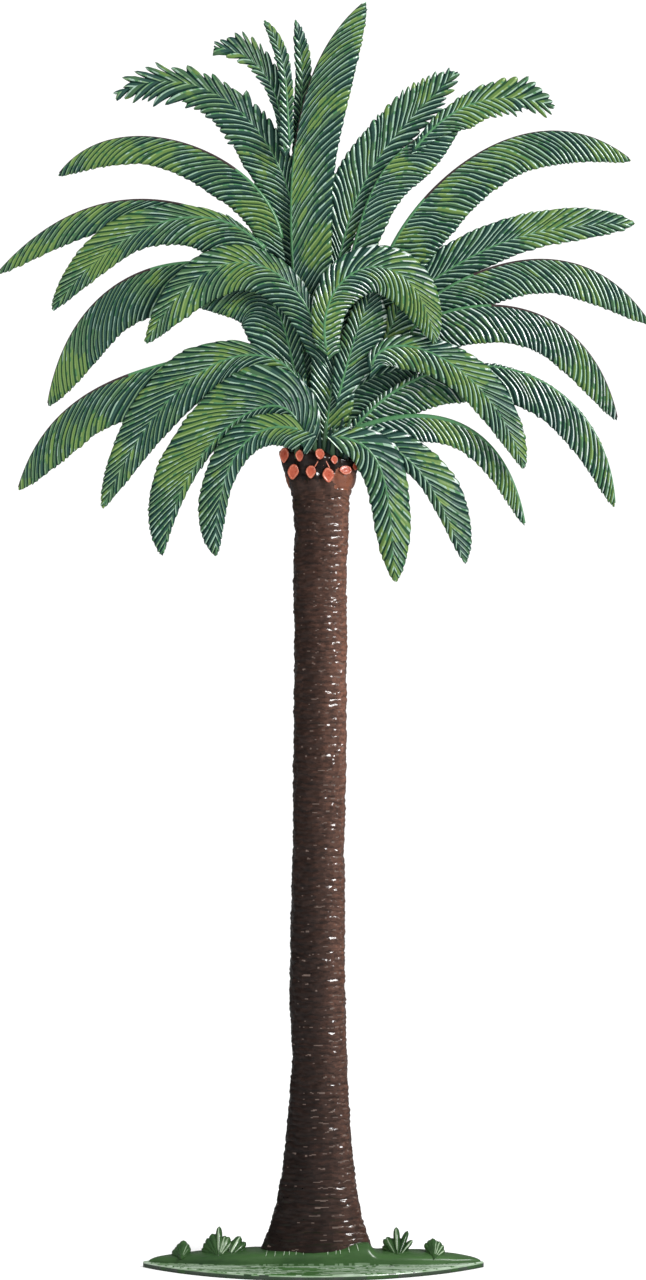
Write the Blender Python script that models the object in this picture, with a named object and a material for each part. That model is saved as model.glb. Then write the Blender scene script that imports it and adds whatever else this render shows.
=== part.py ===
"""Cast metal palm tree figure: a flat, two-sided painted casting on a thin pointed foot.

Metres, +Z up, +X to the right of the front face, -Y towards the front.
The origin is the underside of the foot plate, below the trunk.
"""

import math

import bmesh
import bpy
import numpy as np
from mathutils import Vector

MM = 0.001
GAP = 0.3

# Foot plate: a pointed oval cut from two equal arcs.
PLATE_LEFT = -21.9
PLATE_RIGHT = 20.7
PLATE_HALF_DEPTH = 10.0
PLATE_THICKNESS = 0.75
PLATE_ARC_STEPS = 24

# Ground strip: a low bank along the plate, level under the trunk.
STRIP_LEFT = -20.6
STRIP_RIGHT = 20.2
STRIP_TIP_TOP = 1.35
STRIP_SEAT_TOP = 2.1
STRIP_SEAT_HALF_WIDTH = 9.0
STRIP_HALF_DEPTH = 3.2
STRIP_TIP_HALF_DEPTH = 0.7
STRIP_STEPS = 28

# Trunk: an oval column with a root flare.
TRUNK_FOOT = STRIP_SEAT_TOP + GAP
TRUNK_TOP = 96.7
TRUNK_HALF_WIDTH = 3.3
TRUNK_HALF_DEPTH = 2.1
TRUNK_FLARE_WIDTH = 3.4
TRUNK_FLARE_DEPTH = 0.7
TRUNK_FLARE_FALL = 9.0
TRUNK_TOP_SWELL = 0.3
TRUNK_LEAN = 0.3
TRUNK_SIDES = 24
TRUNK_RINGS = 16

# Collar of cut frond bases between the trunk and the crown.
COLLAR_FOOT = TRUNK_TOP + GAP
COLLAR_TOP = 101.9
COLLAR_CENTRE = -0.05
COLLAR_FOOT_HALF_WIDTH = 3.7
COLLAR_TOP_HALF_WIDTH = 4.4
COLLAR_HALF_DEPTH = 2.35
COLLAR_SIDES = 48
COLLAR_RINGS = 12
STUB_COUNT = 16
STUB_ROWS = (98.6, 100.75)
STUB_HALF_HEIGHT = 0.85
STUB_HALF_WIDTH = 0.75
STUB_RISE = 0.3

# Fronds: flat blades in layers from the back of the crown to its front.
LAYER_PITCH = 1.2
BACK_LAYER_Y = 3.6
RIB_HALF_THICKNESS = 0.45
EDGE_HALF_THICKNESS = 0.28
TOOTH_DEPTH = 0.55
TOOTH_LEAN = 0.8
TOOTH_PITCH = 3.4
MIN_TEETH = 8
MAX_TEETH = 18

# Each frond: name, four points of its rib from root to tip (x, z in mm), the blade's
# width above and below the rib at its root, a third and two thirds of its length,
# the layer it lies in (0 is the back one) and whether its end is ragged.
FRONDS = (
    ("back_left_upper", ((-2.2, 107.9), (-3.5, 115.2), (-5.0, 122.8), (-6.2, 128.9)),
     (1.0, 2.2, 2.2), (1.2, 2.5, 1.5), 0, False),
    ("back_right_upper", ((2.2, 107.9), (4.0, 114.6), (6.2, 120.9), (10.0, 125.6)),
     (2.0, 3.2, 2.5), (2.2, 3.8, 3.2), 0, False),
    ("crest_curl", ((-4.2, 139.6), (-5.8, 147.6), (-9.1, 151.4), (-13.1, 152.6)),
     (0.6, 1.5, 2.2), (0.6, 0.9, 0.8), 2, True),
    ("crest_mid", ((-2.5, 139.6), (-2.1, 145.9), (-2.1, 150.9), (-2.9, 156.4)),
     (1.2, 1.1, 1.2), (0.9, 1.0, 0.8), 1, False),
    ("left_ragged", ((-1.9, 121.1), (-6.0, 139.9), (-15.5, 148.0), (-25.6, 146.7)),
     (0.8, 2.1, 1.7), (2.2, 4.0, 2.5), 1, True),
    ("right_high_back", ((1.5, 119.9), (5.0, 134.1), (10.2, 142.3), (17.4, 149.9)),
     (2.0, 3.9, 3.2), (0.8, 1.6, 2.0), 1, False),
    ("right_two_sided", ((10.9, 120.9), (20.6, 127.2), (29.6, 130.0), (39.8, 130.7)),
     (2.9, 2.9, 2.5), (1.5, 2.2, 1.9), 1, False),
    ("right_stub", ((1.6, 103.8), (3.4, 107.9), (6.5, 111.1), (12.8, 112.4)),
     (0.5, 1.0, 1.0), (1.5, 2.8, 3.4), 1, False),
    ("left_low_long", ((-14.9, 114.0), (-22.7, 111.8), (-31.3, 107.2), (-37.5, 97.2)),
     (0.2, 0.2, 0.2), (5.0, 5.5, 4.6), 3, False),
    ("crest_left", ((-3.6, 140.9), (-4.0, 147.4), (-4.8, 151.9), (-6.8, 155.9)),
     (0.5, 0.9, 0.9), (1.2, 0.8, 0.8), 3, False),
    ("crest_spear", ((-0.8, 106.3), (-3.1, 124.8), (-2.2, 143.9), (5.9, 158.4)),
     (0.2, 0.2, 0.4), (1.2, 4.9, 5.4), 2, False),
    ("left_high", ((-4.6, 128.7), (-11.1, 137.8), (-22.6, 141.4), (-32.6, 136.6)),
     (0.2, 0.2, 0.4), (3.2, 4.4, 3.4), 2, False),
    ("right_ragged", ((1.6, 115.2), (5.6, 131.4), (9.9, 139.1), (18.3, 145.0)),
     (0.2, 0.2, 0.4), (1.7, 3.2, 4.5), 2, False),
    ("right_ragged_end", ((12.1, 139.8), (17.8, 144.8), (23.8, 146.2), (29.6, 145.1)),
     (0.6, 1.3, 2.4), (0.5, 2.8, 1.7), 3, True),
    ("right_high", ((7.7, 122.5), (13.0, 133.2), (24.9, 141.4), (39.2, 138.5)),
     (0.2, 0.2, 0.2), (4.5, 5.5, 4.5), 2, False),
    ("right_long", ((10.2, 118.0), (20.7, 124.6), (31.9, 125.5), (41.5, 118.1)),
     (0.2, 0.2, 0.2), (1.8, 4.4, 4.1), 2, False),
    ("left_broad", ((-11.1, 125.2), (-20.7, 124.9), (-29.0, 119.4), (-33.9, 107.8)),
     (0.2, 0.2, 0.2), (5.0, 6.0, 4.9), 2, False),
    ("right_low_root", ((3.8, 104.2), (7.4, 107.4), (11.8, 110.2), (19.0, 112.6)),
     (0.5, 0.8, 0.8), (2.0, 3.4, 4.2), 2, False),
    ("right_low_long", ((18.0, 112.6), (27.0, 111.1), (34.0, 105.1), (37.1, 95.1)),
     (0.2, 0.2, 0.2), (4.0, 4.6, 3.4), 3, False),
    ("centre_upright", ((0.8, 102.6), (1.4, 107.8), (2.1, 112.8), (3.1, 118.1)),
     (1.5, 2.5, 3.0), (1.2, 3.0, 3.0), 3, False),
    ("left_mid_long", ((-6.6, 127.4), (-15.8, 132.4), (-27.6, 132.6), (-40.1, 124.2)),
     (0.2, 0.2, 0.2), (1.5, 4.2, 3.3), 3, False),
    ("right_mid_long", ((11.6, 117.1), (20.6, 120.1), (30.7, 117.2), (37.4, 105.9)),
     (0.2, 0.2, 0.2), (4.4, 4.7, 4.2), 3, False),
    ("left_inner", ((-2.5, 109.9), (-4.2, 117.2), (-7.6, 122.0), (-15.6, 120.5)),
     (0.5, 1.0, 1.0), (1.8, 4.8, 4.8), 3, False),
    ("right_arch", ((4.6, 104.6), (10.5, 106.2), (19.4, 104.3), (25.8, 92.7)),
     (0.2, 0.2, 0.2), (1.5, 3.4, 2.8), 3, False),
    ("right_inner_small", ((6.8, 113.1), (8.0, 115.2), (9.2, 118.0), (10.2, 120.5)),
     (1.0, 1.8, 1.5), (1.5, 2.9, 2.0), 3, False),
    ("left_mid", ((-6.8, 127.1), (-14.0, 131.0), (-23.3, 128.7), (-33.1, 119.5)),
     (0.2, 1.2, 3.0), (2.5, 4.2, 1.9), 4, False),
    ("right_inner", ((2.5, 108.6), (3.8, 113.4), (4.9, 117.1), (6.4, 120.9)),
     (0.5, 0.8, 0.6), (1.2, 3.5, 3.2), 4, False),
    ("left_low", ((-0.9, 105.4), (-5.2, 113.2), (-15.3, 111.3), (-26.9, 94.8)),
     (0.8, 0.4, 3.6), (2.0, 3.7, 2.7), 4, False),
    ("right_low_outer", ((3.2, 103.6), (9.5, 102.1), (14.2, 97.2), (18.3, 87.9)),
     (1.2, 2.5, 3.3), (1.0, 1.6, 1.0), 4, False),
    ("right_front", ((6.7, 112.6), (11.0, 114.9), (18.8, 110.9), (25.6, 99.7)),
     (0.8, 1.5, 2.7), (1.8, 2.9, 2.3), 5, False),
    ("left_front", ((0.7, 114.0), (-3.9, 122.9), (-12.0, 124.9), (-21.4, 115.3)),
     (0.5, 1.6, 2.5), (2.0, 3.2, 3.5), 5, False),
    ("right_centre", ((1.0, 114.6), (3.0, 122.8), (9.4, 124.1), (14.5, 115.1)),
     (1.2, 2.6, 2.9), (1.8, 3.0, 3.3), 6, False),
    ("right_low_inner", ((2.6, 103.6), (7.0, 101.1), (8.8, 95.1), (9.6, 85.6)),
     (1.2, 3.2, 2.6), (1.8, 2.6, 2.2), 5, False),
    ("left_low_outer", ((-2.0, 103.4), (-6.6, 107.4), (-14.2, 101.6), (-19.3, 88.9)),
     (2.2, 5.2, 4.2), (1.0, 1.5, 0.8), 5, False),
    ("left_low_inner", ((-2.5, 104.5), (-8.8, 103.1), (-12.0, 96.8), (-12.6, 88.8)),
     (1.2, 2.6, 2.6), (2.6, 1.7, 1.1), 6, False),
)

# Tufts of cast grass on the strip: name and the x, z of each blade's tip.
TUFT_HALF_DEPTH = 0.5
TUFT_NOTCH = 1.1
TUFTS = (
    ("tuft_left_outer", -18.2, -15.9, ((-17.6, 3.0), (-16.8, 3.3))),
    ("tuft_left_inner", -14.7, -9.1, ((-13.7, 3.8), (-12.4, 5.1), (-11.4, 3.9), (-9.7, 3.7))),
    ("tuft_right_inner", 8.0, 11.9, ((8.3, 3.9), (9.8, 4.9), (11.2, 4.5))),
    ("tuft_right_outer", 13.3, 15.9, ((13.9, 3.4), (14.6, 3.6))),
)

FINISH = {
    "frond": ((0.09, 0.24, 0.08), 0.3, 0.0),
    "bark": ((0.10, 0.05, 0.03), 0.35, 0.0),
    "stub": ((0.42, 0.09, 0.04), 0.35, 0.0),
    "ground": ((0.04, 0.17, 0.04), 0.3, 0.0),
}


def clear_scene():
    for item in list(bpy.data.objects):
        bpy.data.objects.remove(item, do_unlink=True)


def make_material(name, finish):
    colour, roughness, metallic = FINISH[finish]
    material = bpy.data.materials.new(name)
    material.use_nodes = True
    shader = material.node_tree.nodes["Principled BSDF"]
    shader.inputs["Base Color"].default_value = (*colour, 1.0)
    shader.inputs["Roughness"].default_value = roughness
    shader.inputs["Metallic"].default_value = metallic
    return material


def add_object(name, finish, points, faces):
    """Make one object from points in millimetres, with its faces turned outwards."""
    mesh = bpy.data.meshes.new(name)
    shell = bmesh.new()
    corners = [shell.verts.new(Vector(point) * MM) for point in points]
    for face in faces:
        shell.faces.new([corners[index] for index in face])
    bmesh.ops.triangulate(shell, faces=shell.faces)
    bmesh.ops.recalc_face_normals(shell, faces=shell.faces)
    shell.to_mesh(mesh)
    shell.free()
    mesh.materials.append(make_material(name, finish))
    item = bpy.data.objects.new(name, mesh)
    bpy.context.scene.collection.objects.link(item)
    return item


def stack_rings(rings):
    """Join rings of equal length into the faces of one closed body."""
    count = len(rings[0])
    points = [point for ring in rings for point in ring]
    faces = [tuple(range(count))]
    for row in range(len(rings) - 1):
        low = row * count
        high = low + count
        for side in range(count):
            turn = (side + 1) % count
            faces.append((low + side, low + turn, high + turn, high + side))
    faces.append(tuple(range((len(rings) - 1) * count, len(rings) * count)))
    return points, faces


def add_plate():
    middle = (PLATE_LEFT + PLATE_RIGHT) / 2
    half = (PLATE_RIGHT - PLATE_LEFT) / 2
    radius = (half**2 + PLATE_HALF_DEPTH**2) / (2 * PLATE_HALF_DEPTH)
    opening = math.asin(half / radius)
    outline = []
    for side in (-1, 1):
        for step in range(PLATE_ARC_STEPS):
            angle = opening * (2 * step / PLATE_ARC_STEPS - 1)
            x = middle - side * radius * math.sin(angle)
            y = side * (radius * math.cos(angle) - (radius - PLATE_HALF_DEPTH))
            outline.append((x, y))
    rings = [[(x, y, z) for x, y in outline] for z in (0.0, PLATE_THICKNESS)]
    add_object("base_plate", "ground", *stack_rings(rings))


def strip_section(x):
    """Top height and half depth of the ground strip at x."""
    reach = STRIP_LEFT if x < 0 else STRIP_RIGHT
    level = min(1.0, (abs(reach) - abs(x)) / (abs(reach) - STRIP_SEAT_HALF_WIDTH))
    ease = math.sin(level * math.pi / 2)
    top = STRIP_TIP_TOP + (STRIP_SEAT_TOP - STRIP_TIP_TOP) * ease
    depth = STRIP_TIP_HALF_DEPTH + (STRIP_HALF_DEPTH - STRIP_TIP_HALF_DEPTH) * ease
    return top, depth


def add_strip():
    foot = PLATE_THICKNESS + GAP
    rings = []
    for x in np.linspace(STRIP_LEFT, STRIP_RIGHT, STRIP_STEPS):
        top, depth = strip_section(x)
        shoulder = foot + (top - foot) * 0.6
        rings.append([
            (x, -depth, foot),
            (x, depth, foot),
            (x, depth * 0.96, shoulder),
            (x, depth * 0.86, top),
            (x, -depth * 0.86, top),
            (x, -depth * 0.96, shoulder),
        ])
    add_object("ground_strip", "ground", *stack_rings(rings))


def trunk_section(z):
    """Centre, half width and half depth of the trunk at height z."""
    rise = (z - TRUNK_FOOT) / (TRUNK_TOP - TRUNK_FOOT)
    flare = math.exp(-(z - TRUNK_FOOT) / TRUNK_FLARE_FALL)
    swell = TRUNK_TOP_SWELL * rise**12
    width = TRUNK_HALF_WIDTH + TRUNK_FLARE_WIDTH * flare + swell
    depth = TRUNK_HALF_DEPTH + TRUNK_FLARE_DEPTH * flare
    centre = TRUNK_LEAN * rise - 0.3 * flare
    return centre, width, depth


def add_trunk():
    rings = []
    for step in range(TRUNK_RINGS + 1):
        share = (step / TRUNK_RINGS) ** 1.7
        z = TRUNK_FOOT + (TRUNK_TOP - TRUNK_FOOT) * share
        centre, width, depth = trunk_section(z)
        ring = []
        for side in range(TRUNK_SIDES):
            angle = 2 * math.pi * side / TRUNK_SIDES
            ring.append((centre + width * math.cos(angle), depth * math.sin(angle), z))
        rings.append(ring)
    add_object("trunk", "bark", *stack_rings(rings))


def stub_rise(x, z):
    """Height of the cut frond bases above the collar at x and z."""
    rise = 0.0
    for row, height in enumerate(STUB_ROWS):
        for stub in range(STUB_COUNT // 2):
            angle = 2 * math.pi * (stub + 0.5 * row) / (STUB_COUNT // 2)
            centre = COLLAR_TOP_HALF_WIDTH * math.cos(angle)
            reach = math.hypot((x - centre) / STUB_HALF_WIDTH, (z - height) / STUB_HALF_HEIGHT)
            rise = max(rise, STUB_RISE * (1 - min(1.0, reach) ** 3))
    return rise


def add_collar():
    rings = []
    for step in range(COLLAR_RINGS + 1):
        share = step / COLLAR_RINGS
        z = COLLAR_FOOT + (COLLAR_TOP - COLLAR_FOOT) * share
        spread = math.sin(share * math.pi / 2)
        width = COLLAR_FOOT_HALF_WIDTH + (COLLAR_TOP_HALF_WIDTH - COLLAR_FOOT_HALF_WIDTH) * spread
        ring = []
        for side in range(COLLAR_SIDES):
            angle = 2 * math.pi * side / COLLAR_SIDES
            out = stub_rise(width * math.cos(angle), z)
            x = COLLAR_CENTRE + (width + out * 0.5) * math.cos(angle)
            y = (COLLAR_HALF_DEPTH + out) * math.sin(angle)
            ring.append((x, y, z))
        rings.append(ring)
    add_object("stub_collar", "stub", *stack_rings(rings))


def rib_curve(points, share):
    """Smooth curve through the four rib points at equal shares of its length."""
    t = np.asarray(share)[:, None]
    weights = (
        -4.5 * (t - 1 / 3) * (t - 2 / 3) * (t - 1),
        13.5 * t * (t - 2 / 3) * (t - 1),
        -13.5 * t * (t - 1 / 3) * (t - 1),
        4.5 * t * (t - 1 / 3) * (t - 2 / 3),
    )
    return sum(weight * np.array(point) for weight, point in zip(weights, points))


def blade_width(widths, share, ragged):
    """Width of one half of a blade: set at three places, then drawn in to the tip."""
    root, lower, upper = widths
    width = np.interp(share, (0, 1 / 3, 2 / 3, 1), (root, lower, upper, upper))
    end = np.clip((share - 2 / 3) * 3, 0, 1)
    taper = 1 - end**2.4 if ragged else (1 - end**2.2) ** 0.75
    return width * taper


def rib_frame(points, share):
    """Rib points and the unit normals that point to the blade's upper side."""
    rib = rib_curve(points, share)
    step = 0.001
    ahead = rib_curve(points, share + step) - rib_curve(points, share - step)
    ahead /= np.linalg.norm(ahead, axis=1)[:, None]
    turn = 1 if points[3][0] > points[0][0] else -1
    return rib, np.stack((-ahead[:, 1], ahead[:, 0]), axis=1) * turn


def add_frond(name, points, above, below, layer, ragged):
    """A flat blade with a raised rib and forward-leaning teeth along both edges."""
    y = BACK_LAYER_Y - LAYER_PITCH * layer
    length = np.linalg.norm(np.diff(rib_curve(points, np.linspace(0, 1, 40)), axis=0), axis=1).sum()
    teeth = int(min(MAX_TEETH, max(MIN_TEETH, length / TOOTH_PITCH)))
    stations = np.arange(teeth + 1) / teeth
    notch_share = stations
    tip_share = stations[:-1] + TOOTH_LEAN / teeth
    rib, _ = rib_frame(points, stations)
    points_out = [(x, y - side * RIB_HALF_THICKNESS, z) for x, z in rib for side in (1, -1)]
    faces = []
    first_edge = []
    for sign, widths in ((1, above), (-1, below)):
        start = len(points_out)
        first_edge.append(start)
        for share, cut in ((notch_share[:-1], TOOTH_DEPTH), (tip_share, 0.0)):
            place, normal = rib_frame(points, share)
            width = np.maximum(blade_width(widths, share, ragged) - cut, 0.25)
            if cut == 0.0:
                width = np.maximum(width, 0.4)
            for x, z in place + sign * normal * width[:, None]:
                points_out.append((x, y - EDGE_HALF_THICKNESS, z))
                points_out.append((x, y + EDGE_HALF_THICKNESS, z))
        for tooth in range(teeth):
            last = tooth == teeth - 1
            for side in (0, 1):
                rib_here = 2 * tooth + side
                rib_next = rib_here + 2
                notch = start + 2 * tooth + side
                tip = start + 2 * (teeth + tooth) + side
                after = rib_next if last else notch + 2
                faces.append((rib_here, notch, tip))
                faces.append((rib_here, tip, rib_next))
                if not last:
                    faces.append((rib_next, tip, after))
            notch = start + 2 * tooth
            tip = start + 2 * (teeth + tooth)
            after = 2 * teeth if last else notch + 2
            faces.append((notch, notch + 1, tip + 1, tip))
            faces.append((tip, tip + 1, after + 1, after))
    up, low = first_edge
    faces.append((0, up, up + 1, 1))
    faces.append((0, 1, low + 1, low))
    add_object(name, "frond", points_out, faces)


def add_tuft(name, left, right, tips):
    """A row of pointed grass blades, cast as one thin wall."""
    foot = STRIP_SEAT_TOP + GAP
    outline = [(left, foot)]
    for number, (x, z) in enumerate(tips):
        outline.append((x, z))
        if number < len(tips) - 1:
            after_x, after_z = tips[number + 1]
            outline.append(((x + after_x) / 2, min(z, after_z) - TUFT_NOTCH * 0.4))
    outline.append((right, foot))
    rings = [[(x, y, z) for x, z in outline] for y in (-TUFT_HALF_DEPTH, TUFT_HALF_DEPTH)]
    add_object(name, "ground", *stack_rings(rings))


def main():
    clear_scene()
    add_plate()
    add_strip()
    add_trunk()
    add_collar()
    for row in FRONDS:
        add_frond(*row)
    for row in TUFTS:
        add_tuft(*row)


main()
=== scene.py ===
"""Looks of a flat cast metal palm tree figure: engraved, painted fronds on an oval trunk."""

from math import asin, copysign, cos, exp, pi, radians, sin, sqrt

import bpy
import numpy as np
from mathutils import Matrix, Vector
from mathutils.noise import noise


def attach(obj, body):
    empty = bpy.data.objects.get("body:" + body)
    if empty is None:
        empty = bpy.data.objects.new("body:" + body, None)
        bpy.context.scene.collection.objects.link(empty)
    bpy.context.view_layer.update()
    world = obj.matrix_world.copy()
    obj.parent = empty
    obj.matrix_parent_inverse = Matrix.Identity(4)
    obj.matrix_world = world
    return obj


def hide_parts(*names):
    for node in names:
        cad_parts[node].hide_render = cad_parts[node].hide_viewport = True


# Sizes and places are in millimetres, and in metres where a name ends in _M.
MM = 0.001

# Camera: level with the figure's middle, far enough for the figure's own perspective.
PHOTO_HEIGHT = 1280
PIXELS_PER_MM = 8
SENSOR = 36
CAMERA_DISTANCE = 450
CAMERA_X = 0.6
CAMERA_Z = 78.4
NEAREST_M = 0.01

# Studio: a white sky and floor that the paint's gloss mirrors dim, so that its colour stays
# deep, and lamps: name, place, width, power, and whether the gloss mirrors it.
SKY_LEVEL = 0.95
SKY_IN_GLOSS = 0.05
FLOOR_LEVEL = 0.95
FLOOR_IN_GLOSS = 0.12
FLOOR_REACH_M = 1.5
FLOOR_BACK_M = 0.5
SWEEP_RADIUS_M = 0.4
SWEEP_STEPS = 12
BACKDROP_TOP_M = 2
LAMPS_M = (
    ("key", (0.46, -0.39, 0.44), 0.25, 5, True),
    ("fill", (-0.5, -0.5, 0.3), 0.5, 0.5, False),
)
LAMP_TARGET_M = (0, 0, 0.09)

# Paint surface: how far its roughness varies each way, and the height of its brush marks.
ROUGHNESS_SPREAD = 0.35
BRUSH_MARK_M = 0.0001

# Fronds: the same layers, ribs and widths as the solids, carried to fine leaflets.
FROND_SEED = 100
LAYER_PITCH = 1.2
BACK_LAYER_Y = 3.6
LEAFLET_PITCH = 0.56
PITCH_JITTER = 0.18
LEAFLET_BEND = 0.28
LEAFLET_WAVE = 0.14
LEAFLET_GAP = 2.5
RIB_HALF_THICKNESS = 0.55
EDGE_HALF_THICKNESS = 0.36
LEAFLET_RELIEF = 0.2
EDGE_ROUND = 0.4
TOOTH_OUT = 0.03
TOOTH_IN = 0.1
TOOTH_JITTER = 0.05
RAGGED_REACH = 1.5
RAGGED_FROM = 0.35
ROOT_ROUND = 0.9
RIB_RADIUS = 0.3
RIB_TIP_RADIUS = 0.12
RIB_SIDES = 10
RIB_SAMPLES = 400
SIDE_SAMPLES = 160
ROWS = 15
TONE_JITTER = 0.17
DROOP = 0.5
# Across one leaflet: place from groove to groove, height, and the stripe from there on.
GROOVE, BAND, EDGE = range(3)
LEAFLET_SECTION = (
    (0, 0, GROOVE), (0.16, 0.55, BAND), (0.38, 0.92, BAND), (0.61, 1, EDGE), (0.84, 0.62, GROOVE),
)
# Painted highlight: pale paint on the edges of the front layers that face up to the right.
HIGHLIGHT_TOWARDS = (0.8, 0.6)
HIGHLIGHT_LAYER = 4
HIGHLIGHT_FACING = 0.5
HIGHLIGHT_ROWS = {BAND: 2, EDGE: 3}
# Painted shade: darker paint where a frond lies under a frond in front of it; the map's cells,
# and how deep the painted shade is this many cells round a frond.
CELL = 0.5
PAINTED_SHADE_CELLS = (180, 160)
PAINTED_SHADE_CORNER = (-45, 80)
PAINTED_SHADE_STEPS = ((1, 2), (3, 1))

# Trunk: an oval column with wavy rings, standing in the ground strip.
TRUNK_SEED = 7
TRUNK_FOOT = 2.4
TRUNK_TOP = 96.7
TRUNK_SINK = 0.9
TRUNK_RISE = 0.9
TRUNK_HALF_WIDTH = 3.3
TRUNK_HALF_DEPTH = 2.1
TRUNK_FLARE_WIDTH = 3.4
TRUNK_FLARE_DEPTH = 0.7
TRUNK_FLARE_FALL = 9
TRUNK_TOP_SWELL = 0.3
TRUNK_LEAN = 0.3
TRUNK_SIDES = 96
TRUNK_ROWS = 900
RING_PITCH = 0.85
RING_PITCH_SPREAD = 0.3
RING_WOBBLE = 0.42
RING_RELIEF = 0.14
BARK_LUMP = 0.14
BARK_PIT = 0.06
# How far the trunk's left and right sides stand out from its even taper, at some heights.
TRUNK_WAVES = (
    (2.4, 0.2, 0.35), (6, 0, 0.15), (18, 0, 0.1), (26, -0.3, 0), (33.5, 0.28, -0.15),
    (46, 0.18, -0.12), (52, 0, -0.25), (62, 0, 0), (80, -0.12, 0), (86, 0, -0.15),
    (92, -0.25, 0), (95.5, -0.1, 0),
)
# The share of a ring that is its crease, and the height that the rings reach.
CREASE = 0.12
RING_RUN = 110

# Collar: its sides as half width at the foot, how far they flare and how soon.
COLLAR_FOOT = 96.4
COLLAR_TOP_LEFT = 102.9
COLLAR_TOP_RIGHT = 101.3
COLLAR_X = 0.25
COLLAR_LEFT = (3.4, 1.75, 1.2)
COLLAR_RIGHT = (3.5, 1.1, 0.7)
COLLAR_SIDES = 128
COLLAR_ROWS = 60
COLLAR_HALF_DEPTH = 2.3
# Above this height the body is near black.
COLLAR_DARK_FROM = 98.4
# Stubs, the cut frond bases: x, z of the centre, width, height and tilt of the cut face.
STUBS = (
    (-4.1, 101.4, 1.2, 1.95, 0), (-2.25, 101.3, 1, 1.5, 0), (0.2, 101.5, 1.25, 1.4, 0),
    (1.95, 100.8, 0.9, 1.1, 0), (4.45, 100, 0.7, 0.9, 0), (-3, 99.3, 1.5, 1.85, 0),
    (-0.9, 99.3, 1.3, 1.65, 0), (1.2, 98.9, 1.45, 1.85, 0), (3.3, 99.5, 1.7, 1.15, 0.45),
)
# Rings of a stub from its hidden foot to its middle: share of its size, and lift.
STUB_RINGS = (
    (1, -3.2), (1, 0.62), (0.95, 0.9), (0.87, 1), (0.76, 0.88), (0.66, 0.8), (0.4, 0.78), (0.12, 0.85),
)
STUB_SIDES = 28
STUB_SWELL = 0.4
STUB_LIP = 0.28
# A stub further right than this is in front only.
STUB_FRONT_ONLY = 4.3
# The swollen base below the last stub, and the neck below that: x, z, half sizes, swell.
KNOBS = ((3.25, 98.4, 1.6, 1.25, 0.75), (3, 96.8, 1.2, 0.6, 0.45))
# Runs of the stubs' paint: from x, z to x, z.
PAINT_RUNS = (((0.1, 100.8), (-0.5, 99.8)), ((0.5, 100.8), (0.65, 100.1)), ((0.8, 101), (1.45, 99.7)))
RUN_RADII = (0.06, 0.08, 0.06, 0.07, 0.08, 0.05)

# Stems that join the fronds to the collar.
STEM_COUNT = 26
STEM_FOOT = 101
STEM_RISE = 5.2
STEM_SEED = 21
STEM_RADIUS = 0.42
STEM_FLATNESS = 0.8
STEM_SIDES = 10

# Foot plate: its outline, and its rim's rings as share of the outline and height.
PLATE_LEFT = -21.9
PLATE_RIGHT = 20.7
PLATE_HALF_DEPTH = 10
PLATE_THICKNESS = 0.75
PLATE_STEPS = 180
PLATE_RIM = (
    (0.86, 0), (0.985, 0), (1, 0.12), (1, 0.5), (0.992, 0.66), (0.975, 0.74), (0.94, 0.75),
)

# Ground strip, its mound (x, y, reach to the left and right, rise) and the skirt round the trunk.
STRIP_LEFT = -21.3
STRIP_RIGHT = 20.4
STRIP_TIP_TOP = 1.2
STRIP_SEAT_TOP = 2.2
STRIP_SEAT_HALF_WIDTH = 9
STRIP_HALF_DEPTH = 3.2
STRIP_TIP_HALF_DEPTH = 0.7
BANK_SQUARE = 0.38
BANK_SIDES = 41
MOUND = (6.1, -2.2, 2.6, 0.75, 1.35)
SKIRT_RISE = 0.5
SKIRT_REACH = 5.6
# Grass strokes: x, slant and length of each.
GRASS_STROKES = (
    (-6.5, 0.3, 1), (-5.4, 0.2, 0.9), (-4.3, 0.3, 0.8), (-3.6, 0.1, 0.9), (-2.75, 0.1, 0.7),
    (-1.85, 0, 0.7), (1.2, 0, 0.5), (2.2, 0.1, 0.6), (2.8, -0.3, 0.8), (3.9, -0.4, 1), (5, -0.5, 0.8),
)
STROKE_RADII = (0.03, 0.06, 0.08, 0.09, 0.09, 0.08, 0.04)

# Tufts.
TUFT_FOOT = 1.5
TUFT_TIP_DEPTH = 0.5
TUFT_FOOT_DEPTH = 2.6
BLADE_STEPS = 15
BLADE_SIDES = 16
# Name and, for each fan of blades, its foot (x) and its blades (tip x, tip z, half width).
TUFTS = (
    ("tuft_left_outer", (
        (-17, ((-18.3, 1.95, 0.45), (-15.95, 2, 0.4), (-17.85, 2.5, 0.5), (-16.05, 2.55, 0.45),
         (-17.35, 3, 0.5), (-16.3, 2.95, 0.45), (-16.8, 3.35, 0.5))),
    )),
    ("tuft_left_inner", (
        (-12.4, ((-14.6, 2.3, 0.5), (-10.5, 2.4, 0.45), (-14.35, 2.95, 0.55), (-10.7, 3.2, 0.5),
         (-13.95, 3.6, 0.55), (-11.1, 3.8, 0.5), (-13.3, 4.2, 0.6), (-11.6, 3.95, 0.45), (-12.8, 4.2, 0.5),
         (-12.38, 5.12, 0.42))),
        (-11.2, ((-8.95, 2.4, 0.4), (-10.3, 3.45, 0.45), (-9, 3.1, 0.45), (-9.7, 3.85, 0.55))),
    )),
    ("tuft_right_inner", (
        (9.9, ((8, 2.6, 0.45), (11.3, 2.4, 0.45), (8.15, 3.5, 0.45), (8.55, 3.8, 0.45), (9, 3.65, 0.5),
         (10.7, 3.3, 0.5), (10.15, 3.7, 0.6), (11.8, 3.38, 0.32), (11.2, 4.55, 0.36), (9.75, 5.02, 0.42))),
    )),
    ("tuft_right_outer", (
        (14.45, ((13.3, 2.1, 0.4), (15.85, 2.1, 0.4), (13.35, 3, 0.42), (15.65, 2.75, 0.42),
         (13.85, 3.4, 0.45), (15.25, 3.2, 0.45), (14.3, 3.62, 0.45), (14.8, 3.35, 0.42))),
    )),
)

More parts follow.
